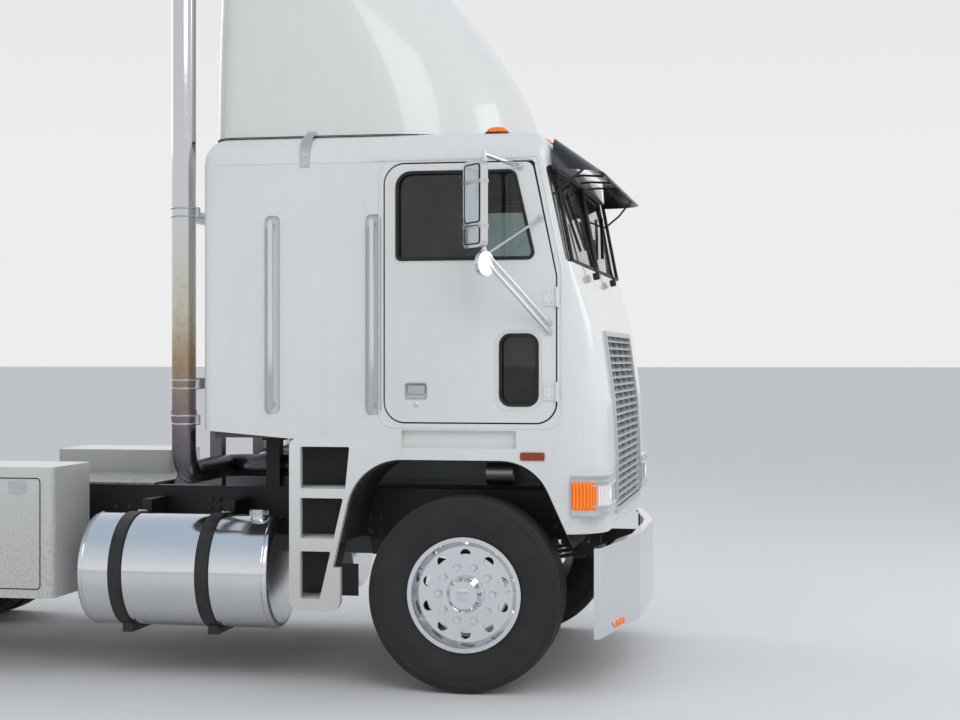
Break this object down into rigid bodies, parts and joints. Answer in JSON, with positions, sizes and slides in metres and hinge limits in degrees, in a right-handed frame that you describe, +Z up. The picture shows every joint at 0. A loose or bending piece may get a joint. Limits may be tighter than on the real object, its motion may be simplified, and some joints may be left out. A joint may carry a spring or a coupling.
{
  "type": "cabover truck tractor unit",
  "caption": "Cabover sleeper tractor unit with roof fairing, tilting cab, opening doors, steered front wheels and a rocking fifth wheel.",
  "frame": {"origin": "middle of the truck's length and width, on the road surface", "axes": "+X towards the front of the truck, +Y towards its left side, +Z up"},
  "size_m": [6.68, 3.0716, 4.1],
  "materials": {
    "white_paint": "gloss",
    "black_frame": "satin",
    "chrome": "polished",
    "polished_alloy": "polished",
    "tyre_rubber": "matte",
    "cast_iron": "rough cast",
    "glass": "clear, slightly tinted",
    "clear_lens": "clear fluted",
    "amber_lens": "translucent amber",
    "dark_visor": "tinted",
    "interior": "grained",
    "seat_cloth": "woven",
    "rubber_flap": "matte",
    "tread_plate": "brushed",
    "strap_metal": "brushed"
  },
  "bodies": {
    "chassis": {"frame": "black_frame", "front_axle": "cast_iron", "drive_axles": "cast_iron", "walking_beams": "cast_iron", "engine": "cast_iron", "radiator": "black_frame", "front_bumper": "chrome", "chassis_lamps": "amber_lens", "fuel_tanks": "polished_alloy", "tank_straps": "strap_metal", "side_boxes": "white_paint", "deck_plate": "tread_plate", "exhaust_stacks": "chrome", "fifth_wheel_base": "cast_iron", "mudflaps": "rubber_flap"},
    "cab": {"cab_front": "white_paint", "cab_sides": "white_paint", "sleeper": "white_paint", "cab_roof": "white_paint", "roof_fairing": "white_paint", "cab_floor": "interior", "arch_liners": "rubber_flap", "entry_steps": "white_paint", "windscreen": "glass", "grille": "chrome", "lamp_housings": "chrome", "headlamps": "clear_lens", "amber_lamps": "amber_lens", "sun_visor": "dark_visor", "grab_bars": "chrome", "dashboard": "interior", "seats": "seat_cloth", "bunk": "seat_cloth"},
    "fifth_wheel": {"fifth_wheel": "cast_iron"},
    "tie_rod": {"tie_rod": "black_frame"},
    "door_right": {"door_right": "white_paint", "door_glass_right": "glass", "mirror_right": "chrome"},
    "knuckle_right": {"knuckle_right": "cast_iron"},
    "wheel_front_right": {"front_tyre_right": "tyre_rubber", "front_rim_right": "polished_alloy"},
    "wheels_drive1_right": {"drive1_tyres_right": "tyre_rubber", "drive1_rims_right": "polished_alloy"},
    "wheels_drive2_right": {"drive2_tyres_right": "tyre_rubber", "drive2_rims_right": "polished_alloy"},
    "door_left": {"door_left": "white_paint", "door_glass_left": "glass", "mirror_left": "chrome"},
    "knuckle_left": {"knuckle_left": "cast_iron"},
    "wheel_front_left": {"front_tyre_left": "tyre_rubber", "front_rim_left": "polished_alloy"},
    "wheels_drive1_left": {"drive1_tyres_left": "tyre_rubber", "drive1_rims_left": "polished_alloy"},
    "wheels_drive2_left": {"drive2_tyres_left": "tyre_rubber", "drive2_rims_left": "polished_alloy"}
  },
  "joints": [
    {"name": "cab_tilt", "type": "hinge", "parent": "chassis", "child": "cab", "pos_m": [3.12, 0, 0.86], "axis": [0, 1, 0], "range_deg": [0, 55]},
    {"name": "fifth_wheel_rock", "type": "hinge", "parent": "chassis", "child": "fifth_wheel", "pos_m": [-1.8, 0, 1.125], "axis": [0, 1, 0], "range_deg": [-15, 15]},
    {"name": "door_right_swing", "type": "hinge", "parent": "cab", "child": "door_right", "pos_m": [2.99, -1.184, 1.8], "axis": [0, 0, 1], "range_deg": [0, 70]},
    {"name": "steer_right", "type": "hinge", "parent": "chassis", "child": "knuckle_right", "pos_m": [2.5, -0.85, 0.51], "axis": [0, 0, 1], "range_deg": [-35, 35]},
    {"name": "front_right_spin", "type": "hinge", "parent": "knuckle_right", "child": "wheel_front_right", "pos_m": [2.5, -1.03, 0.51], "axis": [0, 1, 0], "continuous": true},
    {"name": "drive1_right_spin", "type": "hinge", "parent": "chassis", "child": "wheels_drive1_right", "pos_m": [-1.22, -0.91, 0.51], "axis": [0, 1, 0], "continuous": true},
    {"name": "drive2_right_spin", "type": "hinge", "parent": "chassis", "child": "wheels_drive2_right", "pos_m": [-2.54, -0.91, 0.51], "axis": [0, 1, 0], "continuous": true},
    {"name": "door_left_swing", "type": "hinge", "parent": "cab", "child": "door_left", "pos_m": [2.99, 1.184, 1.8], "axis": [0, 0, 1], "range_deg": [-70, 0]},
    {"name": "steer_left", "type": "hinge", "parent": "chassis", "child": "knuckle_left", "pos_m": [2.5, 0.85, 0.51], "axis": [0, 0, 1], "range_deg": [-35, 35]},
    {"name": "front_left_spin", "type": "hinge", "parent": "knuckle_left", "child": "wheel_front_left", "pos_m": [2.5, 1.03, 0.51], "axis": [0, 1, 0], "continuous": true},
    {"name": "drive1_left_spin", "type": "hinge", "parent": "chassis", "child": "wheels_drive1_left", "pos_m": [-1.22, 0.91, 0.51], "axis": [0, 1, 0], "continuous": true},
    {"name": "drive2_left_spin", "type": "hinge", "parent": "chassis", "child": "wheels_drive2_left", "pos_m": [-2.54, 0.91, 0.51], "axis": [0, 1, 0], "continuous": true},
    {"name": "tie_rod_turn", "type": "hinge", "parent": "knuckle_left", "child": "tie_rod", "pos_m": [2.29, 0.85, 0.42], "axis": [0, 0, 1], "range_deg": [-35, 35]}
  ],
  "couplings": [
    {"joint": "steer_right", "follows": "steer_left", "ratio": 1},
    {"joint": "tie_rod_turn", "follows": "steer_left", "ratio": -1}
  ]
}
